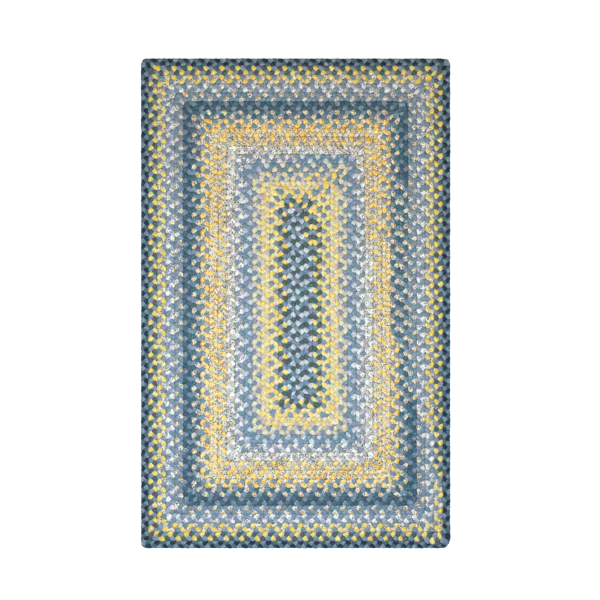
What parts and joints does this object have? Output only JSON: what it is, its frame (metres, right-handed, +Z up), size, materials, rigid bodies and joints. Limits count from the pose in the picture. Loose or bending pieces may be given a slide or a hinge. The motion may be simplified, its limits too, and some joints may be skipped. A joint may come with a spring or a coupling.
{
  "type": "braided rug",
  "caption": "Flat rectangular rug of one continuous three-strand cloth braid, coiled outwards from a straight core and laced row to row, with rounded corners.",
  "frame": {"origin": "on the floor under the middle of the rug", "axes": "+Z up out of the upper face, +Y along the rug's length, +X across it"},
  "size_m": [0.6856, 1.0864, 0.0095],
  "materials": {
    "cloth_braid": "matt woven cotton, printed and plain strips mixed in one braid"
  },
  "bodies": {
    "root": {"rug": "cloth_braid"}
  },
  "joints": []
}
